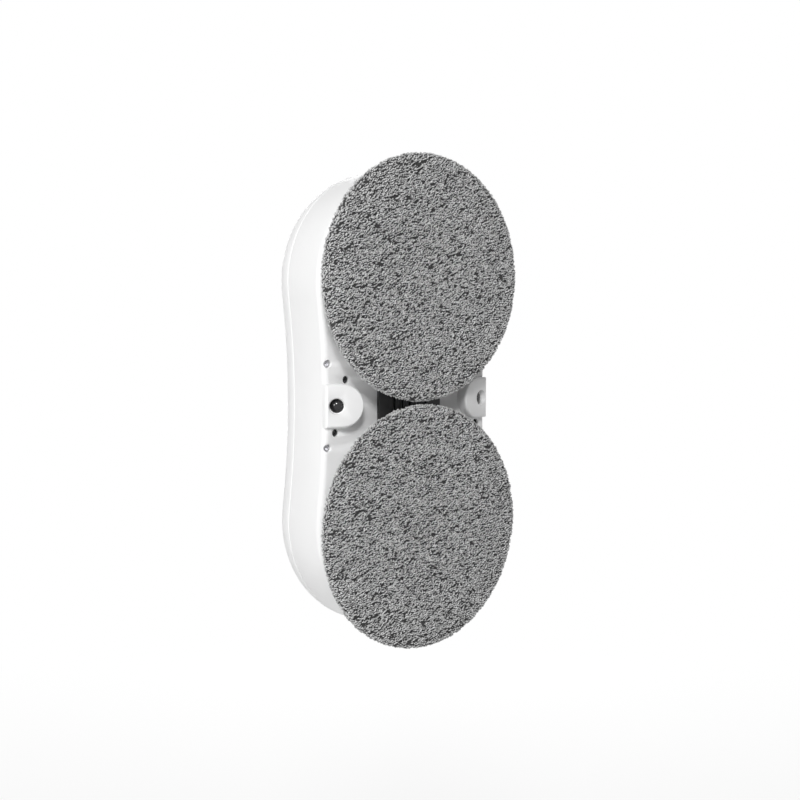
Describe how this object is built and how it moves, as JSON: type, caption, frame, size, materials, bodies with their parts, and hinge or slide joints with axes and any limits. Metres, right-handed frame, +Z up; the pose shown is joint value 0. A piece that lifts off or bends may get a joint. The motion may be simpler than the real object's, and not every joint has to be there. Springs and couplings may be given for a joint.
{
  "type": "window cleaning robot",
  "caption": "Window cleaning robot: a waisted upright shell on round fleece pad wheels, with side sensor pods, suction fan, carrying handle, tether eye and controls on its back.",
  "frame": {"origin": "on the glass plane, midway between the two wheel axes", "axes": "+X to the robot's right seen from the glass, +Y away from the glass, +Z up along its long axis"},
  "size_m": [0.149, 0.1108, 0.299],
  "materials": {
    "shell_white": "semi-gloss",
    "wheel_white": "satin",
    "inner_plastic": "matte",
    "dark_plastic": "matte",
    "black_plastic": "gloss",
    "fleece": "looped pile",
    "hook_fabric": "hook pile",
    "gear_plastic": "satin",
    "felt": "felt",
    "gasket_rubber": "matte",
    "steel": "satin",
    "cell_wrap": "gloss",
    "board_green": "satin",
    "light_ring": "frosted",
    "infrared_window": "gloss"
  },
  "bodies": {
    "chassis": {"bottom_housing": "shell_white", "top_cover": "shell_white", "centre_panel": "dark_plastic", "deck": "inner_plastic", "air_duct": "inner_plastic", "exhaust_grille": "dark_plastic", "carry_handle": "shell_white", "upper_bush": "gear_plastic", "lower_bush": "gear_plastic", "upper_seal": "felt", "lower_seal": "felt", "upper_motor": "steel", "lower_motor": "steel", "fan_motor": "steel", "fan_shroud": "inner_plastic", "fan_diffuser": "inner_plastic", "fan_gasket": "gasket_rubber", "upper_battery": "cell_wrap", "lower_battery": "cell_wrap", "upper_cradle": "inner_plastic", "lower_cradle": "inner_plastic", "main_board": "board_green", "board_parts": "dark_plastic", "button_ring": "light_ring", "power_switch": "black_plastic", "remote_window": "infrared_window", "dc_socket": "black_plastic", "tether_eye": "steel", "tether_nut": "steel", "left_pod": "shell_white", "right_pod": "shell_white", "left_sensor": "black_plastic", "right_sensor": "black_plastic", "port_sensors": "black_plastic", "housing_screws": "steel", "deck_screws": "steel", "motor_screws": "steel", "board_screws": "steel", "handle_screws": "steel"},
    "upper_wheel_set": {"upper_wheel": "wheel_white", "upper_hook_disc": "hook_fabric", "upper_pad": "fleece", "upper_gear": "gear_plastic", "upper_retainer": "steel"},
    "lower_wheel_set": {"lower_wheel": "wheel_white", "lower_hook_disc": "hook_fabric", "lower_pad": "fleece", "lower_gear": "gear_plastic", "lower_retainer": "steel"},
    "upper_pinion_shaft": {"upper_pinion": "gear_plastic"},
    "lower_pinion_shaft": {"lower_pinion": "gear_plastic"},
    "fan_impeller": {"fan_rotor": "dark_plastic"},
    "start_button_cap": {"start_button": "shell_white"},
    "power_rocker_cap": {"power_rocker": "black_plastic"}
  },
  "joints": [
    {"name": "upper_wheel_spin", "type": "hinge", "parent": "chassis", "child": "upper_wheel_set", "pos_m": [0, 0, 0.075], "axis": [0, 1, 0], "continuous": true},
    {"name": "lower_wheel_spin", "type": "hinge", "parent": "chassis", "child": "lower_wheel_set", "pos_m": [0, 0, -0.075], "axis": [0, 1, 0], "continuous": true},
    {"name": "upper_pinion_spin", "type": "hinge", "parent": "chassis", "child": "upper_pinion_shaft", "pos_m": [0.039, 0, 0.075], "axis": [0, 1, 0], "continuous": true},
    {"name": "lower_pinion_spin", "type": "hinge", "parent": "chassis", "child": "lower_pinion_shaft", "pos_m": [-0.039, 0, -0.075], "axis": [0, 1, 0], "continuous": true},
    {"name": "fan_spin", "type": "hinge", "parent": "chassis", "child": "fan_impeller", "pos_m": [0, 0, 0], "axis": [0, 1, 0], "continuous": true},
    {"name": "start_button_press", "type": "slide", "parent": "chassis", "child": "start_button_cap", "axis": [0, -1, 0], "range_m": [0, 0.001], "stiffness_N_per_m": 400, "springref_m": -0.001},
    {"name": "power_rocker_tilt", "type": "hinge", "parent": "chassis", "child": "power_rocker_cap", "pos_m": [0, 0.07283, -0.106], "axis": [1, 0, 0], "range_deg": [0, 14]}
  ],
  "couplings": [
    {"joint": "upper_pinion_spin", "follows": "upper_wheel_spin", "ratio": -3.3333},
    {"joint": "lower_pinion_spin", "follows": "lower_wheel_spin", "ratio": -3.3333}
  ]
}
